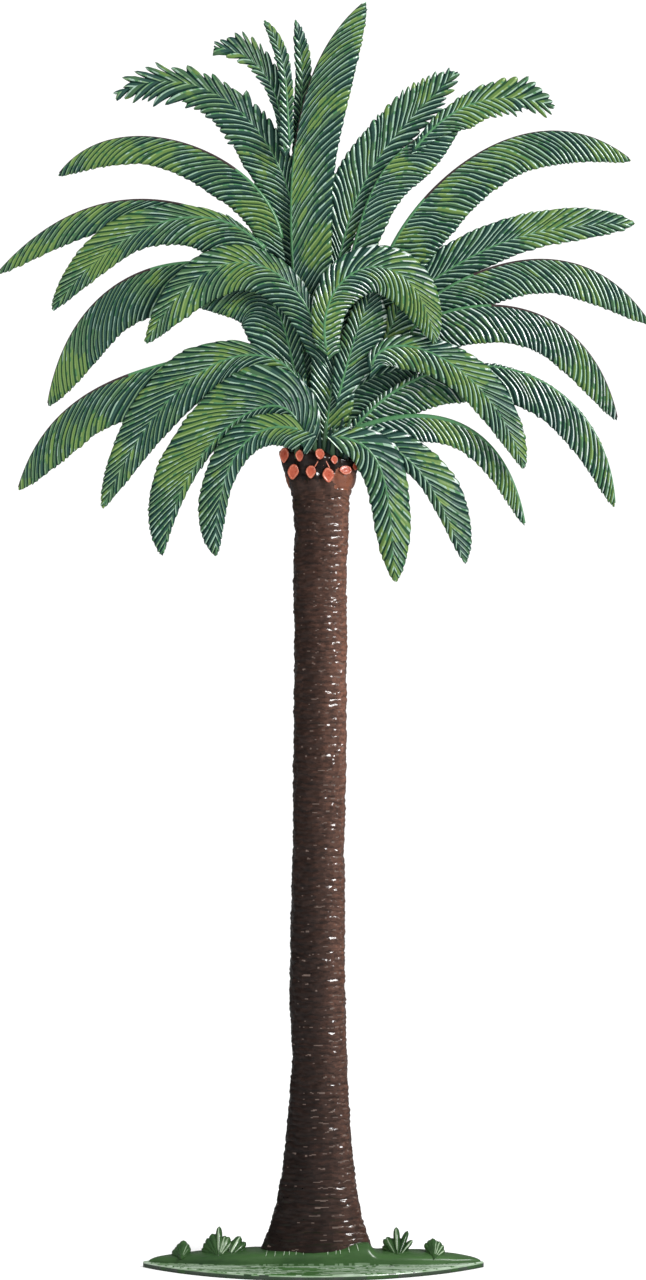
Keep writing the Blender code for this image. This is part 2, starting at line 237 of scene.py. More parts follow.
# Each frond: name, x and z of four rib points from root to tip, its blade above and below the
# rib (BARE for none), its layer (0 is the back one), and how ragged its end is. A blade's numbers
# are its width at its root, a third and two thirds of it, and its leaflets' sweep at root and tip.
BARE = None
FRONDS = (
    ("back_left_upper", (-2.2, 107.9, -3.5, 115.2, -5, 122.8, -6.2, 128.9),
     (1, 2.2, 2.2, 1.6, 2.2), (1.2, 2.5, 1.5, 1.6, 2.2), 0),
    ("back_right_upper", (2.2, 107.9, 4, 114.6, 6.2, 120.9, 10, 125.6),
     (2, 3.2, 2.5, 1.6, 2.2), (2.2, 3.8, 3.2, 1.6, 2.2), 0),
    ("crest_curl", (-4.2, 139.6, -5.8, 147.6, -9.1, 151.4, -13.1, 152.6),
     (0.6, 1.5, 2.2, 1.5, 2.6), (0.6, 0.9, 0.8, 1.5, 2.6), 2, 1),
    ("crest_mid", (-2.5, 137.6, -2.1, 145.9, -2.1, 150.9, -2.9, 156.4),
     (1.2, 1.1, 1.2, 1.5, 2.6), (0.9, 1, 0.8, 1.5, 2.6), 1),
    ("left_ragged", (-1.9, 121.1, -6, 139.9, -15.5, 148, -25.6, 146.7),
     (0.8, 2.1, 1.7, 1.6, 2.6), (2.2, 4, 2.5, 1.1, 2.6), 1, 1),
    ("right_high_back", (1.5, 119.9, 5, 134.1, 10.2, 142.3, 17.4, 149.9),
     (2, 3.9, 3.2, 1.4, 2.2), (0.8, 1.6, 2, 1.6, 2.6), 1, 0.45),
    ("right_two_sided", (10.9, 120.9, 20.6, 127.2, 29.6, 130, 39.8, 130.7),
     (2.9, 2.9, 2.5, 2.4, 2.8), (1.5, 2.2, 1.9, 2.2, 2.8), 1),
    ("right_stub", (1.6, 103.8, 3.4, 107.9, 6.5, 111.1, 12.8, 112.4),
     (0.5, 1, 1, 1.8, 2.2), (1.5, 2.8, 3.4, 0.8, 1.2), 1.5),
    ("left_low_long", (-14.9, 114, -22.7, 111.8, -31.3, 107.2, -37.5, 97.2),
     BARE, (5, 5.5, 4.6, 2, 3.2), 3),
    ("crest_left", (-3.6, 140.9, -4, 147.4, -4.8, 151.9, -6.8, 155.9),
     (0.5, 0.9, 0.9, 1.5, 2.6), (1.2, 0.8, 0.8, 1.5, 2.6), 3),
    ("crest_spear", (-0.8, 106.3, -3.1, 124.8, -2.2, 143.9, 5.9, 158.4),
     BARE, (1.2, 4.9, 5.4, 1.1, 3.6), 2),
    ("left_high", (-4.6, 128.7, -11.1, 137.8, -22.6, 141.4, -32.6, 136.6),
     BARE, (3.2, 4.4, 3.4, 1.2, 3.6), 2),
    ("right_ragged", (1.6, 115.2, 5.6, 131.4, 9.9, 139.1, 18.3, 145),
     BARE, (1.7, 3.2, 4.5, 1, 1.7), 2),
    ("right_ragged_end", (12.1, 139.8, 17.8, 144.8, 23.8, 146.2, 29.6, 145.1),
     (0.6, 1.3, 2.4, 1.2, 2), (0.5, 2.8, 1.7, 1.4, 2), 2.4, 1),
    ("right_high", (7.7, 122.5, 13, 133.2, 24.9, 141.4, 39.2, 138.5),
     BARE, (4.5, 5.5, 4.5, 0.5, 2.6), 2),
    ("right_long", (10.2, 118, 20.7, 124.6, 31.9, 125.5, 41.5, 118.1),
     BARE, (1.8, 4.4, 4.1, 1.2, 2.4), 2),
    ("left_broad", (-11.1, 125.2, -20.7, 124.9, -29, 119.4, -33.9, 107.8),
     BARE, (5, 6, 4.9, 2, 3.2), 2),
    ("right_low_root", (4, 104.1, 17.3, 112.5, 30.6, 108.9, 37.1, 95.1),
     (0.8, 0.5, 0.2, 1, 1), (3.2, 4.5, 3.9, 0.3, 3.4), 2.5),
    ("centre_upright", (0.8, 102.6, 1.4, 107.8, 2.1, 112.8, 3.1, 118.1),
     (1.5, 2.5, 3, 1.3, 1.8), (1.2, 3, 3, 1.3, 1.8), 3),
    ("left_mid_long", (-6.6, 127.4, -15.8, 132.4, -27.6, 132.6, -40.1, 124.2),
     BARE, (1.5, 4.2, 3.3, 2.3, 3.4), 3),
    ("right_mid_long", (11.6, 117.1, 20.6, 120.1, 30.7, 117.2, 37.4, 105.9),
     BARE, (4.4, 4.7, 4.2, 0.8, 3.4), 3),
    ("left_inner", (-2.5, 109.9, -4.2, 117.2, -7.6, 122, -15.6, 120.5),
     (1.2, 1.9, 1, 1.4, 2.6), (1.8, 4.8, 4.8, 1.4, 2.6), 3),
    ("right_arch", (4.6, 104.6, 10.5, 106.2, 19.4, 104.3, 25.8, 92.7),
     BARE, (1.5, 3.4, 2.8, 1.1, 3.2), 3),
    ("right_inner_small", (6.8, 113.1, 8.2, 115.5, 9.4, 118.2, 10.8, 121.1),
     (1, 1.8, 1.5, 1.3, 1.8), (1.5, 2.9, 2.5, 1.3, 1.8), 3),
    ("left_mid", (-6.8, 127.1, -14, 131, -23.3, 128.7, -33.1, 119.5),
     (0.2, 1.2, 3, 2.6, 3.2), (2.5, 4.2, 1.9, 2.6, 3.4), 4),
    ("right_inner", (2.5, 108.6, 3.8, 113.4, 5.1, 117.5, 6.9, 122.3),
     (0.9, 1.9, 1.7, 1.3, 1.8), (1.2, 3.5, 3.4, 1.3, 1.8), 4),
    ("left_low", (-0.9, 105.4, -5.2, 113.2, -15.3, 111.3, -26.9, 94.8),
     (0.8, 0.4, 3.6, 2, 2.8), (2, 4, 2.9, 2, 3.2), 4),
    ("right_low_outer", (3.2, 103.6, 9.5, 102.1, 14.2, 97.2, 18.3, 87.9),
     (1.2, 2.5, 3.3, 1.4, 2.4), (1, 1.6, 1, 1.6, 2.8), 4),
    ("right_front", (6.7, 112.6, 11, 114.9, 18.8, 110.9, 25.6, 99.7),
     (0.8, 1.5, 2.7, 1.8, 2.6), (1.8, 2.9, 2.3, 1.4, 3.2), 5),
    ("left_front", (0.7, 114, -3.9, 122.9, -12, 124.9, -21.4, 115.3),
     (0.5, 1.6, 2.5, 1.6, 2.6), (2, 3.2, 3.5, 1.6, 3.2), 5),
    ("right_centre", (1, 114.6, 3, 122.8, 9.4, 124.1, 14.5, 115.1),
     (1.2, 2.6, 2.9, 1.2, 2.4), (1.8, 3, 3.3, 0.5, 3.6), 6),
    ("right_low_inner", (2.6, 103.6, 7, 101.1, 8.8, 95.1, 9.6, 85.6),
     (1.2, 3.2, 2.6, 1.4, 2.4), (1.8, 2.6, 2.2, 1.6, 2.8), 5),
    ("left_low_outer", (-2, 103.4, -6.6, 107.4, -14.2, 101.6, -19.3, 88.9),
     (2.2, 5.5, 4.35, 1.4, 2.6), (1, 1.5, 0.8, 1.6, 3), 5),
    ("left_low_inner", (-2.5, 104.5, -8.8, 103.1, -12, 96.8, -12.6, 88.8),
     (1.2, 2.6, 2.6, 1.4, 2.6), (2.6, 1.7, 1.1, 1.6, 3), 6),
)

# What some fronds have of their own: tone, a wider painted highlight on their edges, how much of
# a bare-sided rib is green and not plum, a broader rib, pale lines painted as highlights, coarser
# leaflets, a second node.
SHADE = {
    "right_low_inner": -0.3, "right_low_outer": -0.22, "left_low_inner": -0.05, "left_low": 0.02,
    "right_front": 0.05, "left_front": 0.05, "left_low_outer": 0.05, "centre_upright": 0.1,
    "left_mid": 0.1, "left_high": 0.1, "right_inner_small": 0.12, "right_low_root": 0.12,
    "crest_spear": 0.12, "right_stub": 0.15, "right_two_sided": 0.15, "right_high": 0.3,
}
HIGHLIGHT_DEEP = {"right_centre": 2, "left_front": 1, "right_front": 1}
GREEN_RIB = {"crest_spear": 0.62, "right_ragged": 0.75, "right_arch": 1}
BROAD_RIB = {"right_arch": 1.6, "right_low_root": 1.3}
HIGHLIGHT_LINES = ("right_low_root", "right_mid_long", "right_arch")
COARSE = {"right_low_inner": 1.3, "right_low_outer": 1.15, "right_stub": 1.15, "centre_upright": 0.9}
JOINED = {"right_low_root": ("right_low_root", "right_low_long")}

# Frond paints, dealt out face by face: colour, roughness and clear coat.
PAINT = {
    "groove_teal": ((0.006, 0.026, 0.02), 0.55, 0),
    "groove_green": ((0.019, 0.062, 0.026), 0.5, 0),
    "band_teal": ((0.019, 0.056, 0.044), 0.4, 0.1),
    "band_green": ((0.041, 0.095, 0.045), 0.4, 0.1),
    "band_brushed": ((0.09, 0.162, 0.04), 0.4, 0.1),
    # Pale line paints; towards the right, edge_cool and edge_bright are partly a painted highlight.
    "edge_cool": ((0.22, 0.35, 0.255), 0.28, 0.6),
    "edge_green": ((0.16, 0.275, 0.145), 0.3, 0.5),
    "edge_yellow": ((0.185, 0.28, 0.095), 0.3, 0.4),
    "rib_green": ((0.06, 0.18, 0.075), 0.32, 0.4),
    "rib_plum": ((0.04, 0.026, 0.026), 0.4, 0.2),
    # Pale paint for painted highlights on frond edges and lines.
    "painted_highlight": ((0.42, 0.5, 0.46), 0.25, 0.8),
    "edge_bright": ((0.27, 0.4, 0.32), 0.28, 0.6),
}
(
    GROOVE_TEAL, GROOVE_GREEN, BAND_TEAL, BAND_GREEN, BAND_BRUSHED, EDGE_COOL, EDGE_GREEN, EDGE_YELLOW,
    RIB_GREEN, RIB_PLUM, HIGHLIGHT_EDGE, EDGE_BRIGHT,
) = range(len(PAINT))
STEM_PAINTS = (BAND_TEAL, GROOVE_TEAL, EDGE_COOL, BAND_GREEN)

# Bark tones from dark to light, where on them the left and right sides lie (the left in painted
# shade, the right painted lit), and how many tones darker the foot is.
BARK_DARKEST = (0.01, 0.0052, 0.0038)
BARK_STEP = (1.45, 1.42, 1.4)
BARK_TONES = [tuple(c * step**level for c, step in zip(BARK_DARKEST, BARK_STEP)) for level in range(8)]
BARK_SHADED_LEFT = 2.2
BARK_LIT_RIGHT = 6.6
BARK_FOOT_DARK = 2.3
BARK_FOOT_REACH = 70
# After the bark tones come the painted highlight on the rings' lips on the trunk, and the
# stubs' and the knob's paints on the collar.
LIP_HIGHLIGHT_SLOT = len(BARK_TONES)
STUB_SLOT, STUB_RIM_SLOT, STUB_LIP_SLOT, KNOB_SLOT = range(LIP_HIGHLIGHT_SLOT, LIP_HIGHLIGHT_SLOT + 4)
BARK_LIP_HIGHLIGHT = (0.135, 0.098, 0.082)
BARK_RED = (0.12, 0.042, 0.024)
KNOB_BROWN = (0.21, 0.07, 0.036)
STUB_ORANGE = (0.31, 0.048, 0.024)
STUB_PALE = (0.42, 0.095, 0.048)
STUB_RIM = (0.5, 0.19, 0.12)
GROUND_GREEN = (0.032, 0.082, 0.022)
GROUND_DARK = (0.016, 0.048, 0.015)
GROUND_PALE = (0.3, 0.4, 0.26)
GRASS_LIGHT = (0.52, 0.6, 0.48)
BRUSH_PALE = (0.34, 0.42, 0.33)
METAL_EDGE = (0.045, 0.05, 0.046)
PLATE_GREEN = (0.052, 0.128, 0.038)
PLATE_LIGHT = (0.085, 0.165, 0.065)
PLATE_WORN = (0.1, 0.19, 0.08)
PLATE_BRUSHED_SHEEN = (0.13, 0.21, 0.11)
STRIP_LIGHT = (0.05, 0.122, 0.034)
BANK_PALE = (0.19, 0.28, 0.17)

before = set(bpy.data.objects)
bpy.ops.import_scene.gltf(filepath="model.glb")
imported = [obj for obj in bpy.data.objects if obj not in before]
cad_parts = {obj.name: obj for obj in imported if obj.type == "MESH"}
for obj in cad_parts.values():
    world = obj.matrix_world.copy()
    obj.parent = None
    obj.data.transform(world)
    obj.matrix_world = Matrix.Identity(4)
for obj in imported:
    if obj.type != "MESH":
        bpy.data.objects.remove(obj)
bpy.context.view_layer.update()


def drift(x, y, z):
    """Smooth noise at a place."""
    return noise(Vector((x, y, z)))


def within(value):
    """A value held between 0 and 1."""
    return min(1, max(0, value))


def angles(sides):
    return [2 * pi * side / sides for side in range(sides)]


def scaled(colour, factor):
    return tuple(factor * c for c in colour)


def set_inputs(node, inputs):
    for name, value in inputs.items():
        node.inputs[name].default_value = value


def add_node(tree, kind, inputs):
    """A new shader node with some of its inputs set."""
    node = tree.nodes.new("ShaderNode" + kind)
    set_inputs(node, inputs)
    return node


def join(tree, source, output, target, socket):
    tree.links.new(source.outputs[output], target.inputs[socket])


def add_object(name, data):
    made = bpy.data.objects.new(name, data)
    bpy.context.scene.collection.objects.link(made)
    return made


def new_material(name):
    """A new material, its nodes and its shader."""
    material = bpy.data.materials.new(name)
    material.use_nodes = True
    tree = material.node_tree
    return material, tree, tree.nodes["Principled BSDF"]


def paint_nodes(name, roughness, bump, scale, stretch, coat, specular, gloss):
    """Gloss paint over cast metal, brushed a little unevenly."""
    material, tree, shader = new_material(name)
    set_inputs(shader, {"Coat Weight": coat, "Coat Roughness": gloss, "Specular IOR Level": specular})
    place = add_node(tree, "TexCoord", {})
    pull = add_node(tree, "Mapping", {"Scale": stretch})
    grain = add_node(tree, "TexNoise", {"Scale": scale, "Detail": 4})
    spread = add_node(tree, "MapRange", {
        "To Min": roughness * (1 - ROUGHNESS_SPREAD), "To Max": roughness * (1 + ROUGHNESS_SPREAD),
    })
    raised = add_node(tree, "Bump", {"Strength": bump, "Distance": BRUSH_MARK_M})
    join(tree, place, "Object", pull, "Vector")
    join(tree, pull, "Vector", grain, "Vector")
    join(tree, grain, "Fac", spread, "Value")
    join(tree, spread, "Result", shader, "Roughness")
    join(tree, grain, "Fac", raised, "Height")
    join(tree, raised, "Normal", shader, "Normal")
    return material, tree, shader, pull


def plain_paint(name, colour, roughness=0.32, coat=0.4):
    """One paint colour, duller without a clear coat."""
    specular = 0.08 + 0.5 * min(1, coat * 2)
    material, _, shader, _ = paint_nodes(name, roughness, 0.35, 2600, (1, 1, 1), coat, specular, 0.12)
    set_inputs(shader, {"Base Color": (*colour, 1)})
    return material


def mixed_paint(
    name, stops, scale, stretch=(1, 1, 1),
    roughness=0.3, bump=0.5, grain=1800, coat=0.5, specular=0.5, gloss=0.12,
):
    """Paint that drifts between several colours in patches."""
    material, tree, shader, pull = paint_nodes(name, roughness, bump, grain, stretch, coat, specular, gloss)
    patches = add_node(tree, "TexNoise", {"Scale": scale, "Detail": 5, "Roughness": 0.62})
    ramp = add_node(tree, "ValToRGB", {})
    made = ramp.color_ramp.elements
    made.remove(made[0])
    made[0].position = stops[0][0]
    for place, _ in stops[1:]:
        made.new(place)
    for stop, (_, colour) in zip(made, stops):
        stop.color = (*colour, 1)
    join(tree, pull, "Vector", patches, "Vector")
    join(tree, patches, "Fac", ramp, "Fac")
    join(tree, ramp, "Color", shader, "Base Color")
    return material


def ring_faces(rows, sides, base=0, closed=True):
    """Faces between rows of points that each go once round a piece."""
    faces = []
    for row in range(rows - 1):
        low = base + row * sides
        high = low + sides
        for side in range(sides if closed else sides - 1):
            turn = (side + 1) % sides
            faces.append((low + side, low + turn, high + turn, high + side))
    return faces


class Shell:
    """A piece's mesh in the making: points, faces, and each face's paint."""

    def __init__(self):
        self.points = []
        self.faces = []
        self.slots = []

    def wrap(self, rows, sides, slot_of, foot=None, top=None):
        """Faces round the last rows of points, and over the ends that have a paint."""
        base = len(self.points) - rows * sides
        self.faces += ring_faces(rows, sides, base)
        self.slots += [slot_of(row, side) for row in range(rows - 1) for side in range(sides)]
        if foot is not None:
            self.faces.append(tuple(range(base, base + sides))[::-1])
            self.slots.append(foot)
        if top is not None:
            end = len(self.points)
            self.faces.append(tuple(range(end - sides, end)))
            self.slots.append(top)

    def add_rod(self, path, radii, depths, paint, sides=8, slot_of=None):
        """A tapering rod along a path in the x-z plane at each point's own depth."""
        path = np.asarray(path, dtype=float)
        ahead = np.gradient(path, axis=0)
        ahead /= np.linalg.norm(ahead, axis=1, keepdims=True)
        for (x, y, z), way, radius, depth in zip(path, ahead, radii, depths):
            for angle in angles(sides):
                across = radius * cos(angle)
                self.points.append((x - way[2] * across, y + depth * sin(angle), z + way[0] * across))
        self.wrap(len(path), sides, slot_of or (lambda row, side: paint), paint, paint)


def add_piece(name, shell, materials, nodes):
    """A finished piece in metres, with a material for each face."""
    mesh = bpy.data.meshes.new(name)
    mesh.from_pydata((np.asarray(shell.points) * MM).tolist(), [], shell.faces)
    for material in materials:
        mesh.materials.append(material)
    mesh.polygons.foreach_set("material_index", np.asarray(shell.slots, dtype=np.int32))
    mesh.shade_smooth()
    mesh.update()
    piece = add_object(name, mesh)
    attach(piece, "root")
    if nodes:
        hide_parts(*nodes)


def rib_curve(points, share):
    """Smooth curve through the four rib points."""
    t = np.asarray(share)[..., None]
    weights = (
        -4.5 * (t - 1 / 3) * (t - 2 / 3) * (t - 1),
        13.5 * t * (t - 2 / 3) * (t - 1),
        -13.5 * t * (t - 1 / 3) * (t - 1),
        4.5 * t * (t - 1 / 3) * (t - 2 / 3),
    )
    return sum(weight * point for weight, point in zip(weights, points))


def blade_width(widths, share, ragged):
    """Width of one half of a blade: set at three places, then drawn in to the tip."""
    root, lower, upper = widths
    width = np.interp(share, (0, 1 / 3, 2 / 3, 1), (root, lower, upper, upper))
    end = np.clip((share - 2 / 3) * 3, 0, 1)
    taper = 1 - end**2.4 if ragged > 0.5 else (1 - end**2.2) ** 0.68
    return width * taper


class Frond:
    """Rib, sides and leaflet rule of one frond."""

    def __init__(self, name, rib, above, below, layer, ragged=0):
        self.name = name
        self.points = points = np.reshape(rib, (4, 2))
        self.sides = [(sign, side[:3], side[3:]) for sign, side in ((1, above), (-1, below)) if side]
        self.y = BACK_LAYER_Y - LAYER_PITCH * layer
        self.ragged = ragged
        self.turn = 1 if points[3, 0] > points[0, 0] else -1
        self.layer = layer
        self.phase = 1.7 * points[0, 0] + 2.3 * points[3, 1]
        # Painted shade by depth: each layer further back is painted darker, on top of the frond's own tone.
        self.light = 0.05 * (layer - 3) + SHADE.get(name, 0)
        self.wear_and_highlight = HIGHLIGHT_DEEP.get(name, 0)
        self.shares = np.linspace(0, 1, RIB_SAMPLES)
        steps = np.linalg.norm(np.diff(rib_curve(points, self.shares), axis=0), axis=1)
        self.lengths = np.concatenate(([0], np.cumsum(steps)))
        self.length = self.lengths[-1]

    def place(self, along, out, sign):
        """Point at a distance along the rib and a distance out to one side of it."""
        share = np.interp(along, self.lengths, self.shares)
        rib = rib_curve(self.points, share)
        ahead = rib_curve(self.points, share + 0.001) - rib_curve(self.points, share - 0.001)
        ahead /= np.linalg.norm(ahead, axis=-1, keepdims=True)
        beyond = (along - np.clip(along, 0, self.length))[..., None] * ahead
        normal = np.stack((-ahead[..., 1], ahead[..., 0]), axis=-1) * self.turn * sign
        return rib + beyond + normal * out[..., None]


def leaflet_columns(frond, widths, sweeps, rng):
    """Lines that run out along each leaflet: start, lean, reach past the edge, height, stripe, tone."""
    root_sweep, tip_sweep = sweeps
    columns = []
    along = -root_sweep * max(widths)
    while along < frond.length:
        share = within(along / frond.length)
        sweep = root_sweep + (tip_sweep - root_sweep) * share
        pitch = LEAFLET_PITCH * COARSE.get(frond.name, 1) * sqrt(1 + (0.7 * sweep) ** 2)
        near = frond.ragged * max(0, share - RAGGED_FROM) / (1 - RAGGED_FROM)
        pitch *= (1 + PITCH_JITTER * float(rng.normal())) * (1 + 0.8 * near)
        jitter = TOOTH_JITTER * float(rng.normal())
        tone = TONE_JITTER * float(rng.normal())
        for place, height, kind in LEAFLET_SECTION:
            start = along + place * pitch
            reach = TOOTH_OUT * height - TOOTH_IN * (1 - height) + jitter * height
            reach += near * (height - 0.35) * RAGGED_REACH * (1 + jitter * 14)
            columns.append((start, sweep, reach, height, kind, tone))
        along += pitch
    return np.array(columns).T


def side_grid(frond, sign, widths, sweeps, rng):
    """Points of one side of a blade as columns by rows, and what each column is."""
    starts, leans, reaches, heights, kinds, tones = leaflet_columns(frond, widths, sweeps, rng)
    widest = max(widths)
    leans = leans[:, None]
    bend = LEAFLET_BEND * leans / widest
    out = np.linspace(0, widest * 1.25, SIDE_SAMPLES)
    along = starts[:, None] + leans * out - bend * out**2
    wave = np.sin(1.1 * out + 0.9 * starts[:, None] + frond.phase)
    wave += 0.6 * np.sin(2.3 * out - 0.7 * starts[:, None] + 2 * frond.phase)
    along += LEAFLET_WAVE * wave * np.clip(out, 0, 1)
    # Each column runs from where it enters the blade to the blade's edge.
    share = np.interp(along, frond.lengths, frond.shares)
    width = blade_width(widths, share, frond.ragged) + reaches[:, None]
    root = max(widths[0], 0.8) * ROOT_ROUND
    width *= np.sqrt(np.clip(1 - (np.clip(-along, 0, root) / root) ** 2, 0, 1))
    past = (out >= width) | (along >= frond.length)
    past &= along > -root
    last = np.where(past.any(axis=1), past.argmax(axis=1), len(out) - 1)
    inside = (along > -root) & ~past
    begin = inside.argmax(axis=1)
    keep = (last > begin) & inside.any(axis=1)
    out_from = out[begin][keep]
    out_to = out[last][keep]
    spread = np.concatenate((np.linspace(0, 0.88, ROWS - 2), (0.96, 1)))
    out_at = out_from[:, None] + (out_to - out_from)[:, None] * spread
    # How far along the rib each point lies.
    row_of = np.arange(len(out_at))[:, None]
    step = out_at / (out[1] - out[0])
    low = np.clip(step.astype(int), 0, len(out) - 2)
    rest = step - low
    along = along[keep]
    along_at = along[row_of, low] * (1 - rest) + along[row_of, low + 1] * rest
    # The blade thins to its edge, carries the leaflets' relief, and droops.
    left = out_to[:, None] - out_at
    edge = np.sqrt(np.clip(1 - (1 - np.clip(left / EDGE_ROUND, 0, 1)) ** 2, 0, 1))
    across = out_at / max(widest, 0.1)
    body = RIB_HALF_THICKNESS + (EDGE_HALF_THICKNESS - RIB_HALF_THICKNESS) * across
    relief = LEAFLET_RELIEF * (heights[keep][:, None] - 0.6)
    fade = np.clip(out_at / 0.4, 0.3, 1)
    thick = (body + relief * fade) * edge
    thick[:, -1] = 0
    droop = -copysign(DROOP, frond.y) * across**1.5 if frond.y else 0 * across
    return {
        "sign": sign, "flat": frond.place(along_at, out_at, sign), "thick": thick,
        "middle": frond.y + droop, "kinds": kinds[keep], "tones": tones[keep], "starts": starts[keep],
    }


def paint_slot(frond, place, kind, tone, painted_shade, wear_and_highlight):
    """Which paint a patch takes: brushed light in places, dark as painted shade under fronds in front, and
    pale as a painted highlight on edges that face up to the right.
    """
    spot = Vector((place[0] * 0.17, place[1] * 0.17, frond.y))
    brush_and_shade = noise(spot) + 0.5 * noise(spot * 3.1) + tone + frond.light
    # Painted shade: darker where this face lies under fronds in front of it.
    brush_and_shade -= 0.26 * painted_shade
    # Cooler, paler lines towards the right: partly the paint's own hue and partly a painted highlight.
    cool_and_highlight = place[0] * 0.012 + 0.6 * noise(spot * 1.7 + Vector((7, 3, 1)))
    fine = noise(spot * 9)
    deep = 0.12 * frond.wear_and_highlight
    patchy = noise(spot * 1.9) > -0.12 - deep and fine > (-0.05 - deep if kind == EDGE else 0.22)
    # Painted highlight: pale paint on rims that face up to the right.
    if wear_and_highlight > HIGHLIGHT_FACING - 1.7 * deep and patchy:
        return HIGHLIGHT_EDGE
    if kind == GROOVE:
        return GROOVE_GREEN if brush_and_shade > 0.28 else GROOVE_TEAL
    if kind == BAND:
        return BAND_BRUSHED if brush_and_shade > 0.24 else BAND_GREEN if brush_and_shade > -0.16 else BAND_TEAL
    if fine < -0.28:
        return RIB_GREEN
    # Painted highlight: pale lines on these fronds.
    if frond.name in HIGHLIGHT_LINES and fine > -0.02 and brush_and_shade < 0.3:
        return HIGHLIGHT_EDGE
    if fine > 0.25 and cool_and_highlight > -0.3:
        return EDGE_BRIGHT
    return EDGE_YELLOW if brush_and_shade > 0.3 and cool_and_highlight < 0.25 else EDGE_COOL if cool_and_highlight > -0.1 else EDGE_GREEN


def cell_of(place):
    """The painted shade map's cell that a point is in."""
    return tuple(
        np.clip(((place[..., axis] - PAINTED_SHADE_CORNER[axis]) / CELL).astype(int), 0, PAINTED_SHADE_CELLS[axis] - 1)
        for axis in (0, 1)
    )


def spread_mask(mask, steps):
    """A mask grown by a number of cells all round."""
    for _ in range(steps):
        grown = mask.copy()
        grown[1:] |= mask[:-1]
        grown[:-1] |= mask[1:]
        grown[:, 1:] |= mask[:, :-1]
        grown[:, :-1] |= mask[:, 1:]
        mask = grown
    return mask


def painted_shade_maps(sides_of):
    """For each layer and face, how deep each cell lies in the painted shade under the fronds nearer that
    face.
    """
    covered = {}
    for frond, sides in sides_of:
        mask = covered.setdefault(frond.layer, np.zeros(PAINTED_SHADE_CELLS, dtype=bool))
        for side in sides:
            mask[cell_of(side["flat"])] = True
    maps = {}
    for layer in covered:
        for face in (-1, 1):
            depth = np.zeros(PAINTED_SHADE_CELLS, dtype=int)
            for mask in [mask for other, mask in covered.items() if (other - layer) * face < 0]:
                for steps, painted_shade in PAINTED_SHADE_STEPS:
                    depth = np.maximum(depth, spread_mask(mask, steps) * painted_shade)
            maps[layer, face] = depth
    return maps


def add_side(frond, side, maps, shell):
    """Adds one side of a blade, front and back."""
    flat = side["flat"]
    thick = side["thick"]
    columns, rows = thick.shape
    front = len(shell.points) + np.arange(columns * rows).reshape(columns, rows)
    back = front + columns * rows
    back[:, -1] = front[:, -1]
    for face in (-1, 1):
        grid = np.stack((flat[..., 0], side["middle"] + face * thick, flat[..., 1]), axis=-1)
        shell.points.extend(grid.reshape(-1, 3).tolist())
    outward = flat[:, -1] - flat[:, 0]
    outward /= np.maximum(np.linalg.norm(outward, axis=1, keepdims=True), 1e-6)
    # How far each column's edge faces up to the right, where the painted highlight goes.
    facing = outward @ np.array(HIGHLIGHT_TOWARDS)
    joined = np.diff(side["starts"]) <= LEAFLET_GAP * LEAFLET_PITCH
    whole = frond.turn * side["sign"] > 0
    for face, sheet, flip in ((-1, front, whole), (1, back, not whole)):
        # Painted shade: how deep each point lies under the fronds in front of this face.
        painted_shade = maps[frond.layer, face][cell_of(flat)]
        for column in np.flatnonzero(joined):
            kind = int(side["kinds"][column])
            # How many rows of each rim take the painted highlight.
            highlight_rows = HIGHLIGHT_ROWS.get(kind, 0) + (2 * frond.wear_and_highlight if kind == EDGE else 0)
            for row in range(rows - 1):
                on_rim = frond.layer >= HIGHLIGHT_LAYER and row >= rows - 1 - highlight_rows
                here, beside = sheet[column:column + 2, row:row + 2].tolist()
                corners = [here[0], beside[0], beside[1], here[1]]
                shell.faces.append(corners[::-1] if flip else corners)
                shell.slots.append(paint_slot(
                    frond, flat[column, row], kind, side["tones"][column],
                    int(painted_shade[column, row]), float(facing[column]) if on_rim else 0,
                ))


def add_rib(frond, shell):
    """Adds the raised rib, a slim rod that ends in the tip."""
    steps = max(24, int(frond.length * 2))
    along = np.linspace(0, frond.length * 0.99, steps)
    path = np.insert(frond.place(along, np.zeros(steps), 1), 1, frond.y, axis=1)
    shares = [step / (steps - 1) for step in range(steps)]
    broad = BROAD_RIB.get(frond.name, 1)
    radii = [(RIB_RADIUS + (RIB_TIP_RADIUS - RIB_RADIUS) * share) * broad for share in shares]
    depths = [RIB_HALF_THICKNESS + 0.12 - 0.15 * share for share in shares]
    paint = RIB_PLUM if len(frond.sides) == 1 else RIB_GREEN
    green = steps * GREEN_RIB.get(frond.name, 0.3)
    shell.add_rod(
        path, radii, depths, paint, RIB_SIDES, lambda row, side: RIB_GREEN if row < green else paint
    )


def add_fronds():
    paints = [plain_paint(name, *look) for name, look in PAINT.items()]
    sides_of = []
    for number, row in enumerate(FRONDS):
        frond = Frond(*row)
        rng = np.random.default_rng(FROND_SEED + number)
        sides_of.append((frond, [side_grid(frond, *side, rng) for side in frond.sides]))
    maps = painted_shade_maps(sides_of)
    for frond, sides in sides_of:
        shell = Shell()
        for side in sides:
            add_side(frond, side, maps, shell)
        add_rib(frond, shell)
        nodes = JOINED.get(frond.name, (frond.name,))
        add_piece("frond_" + frond.name, shell, paints, nodes)


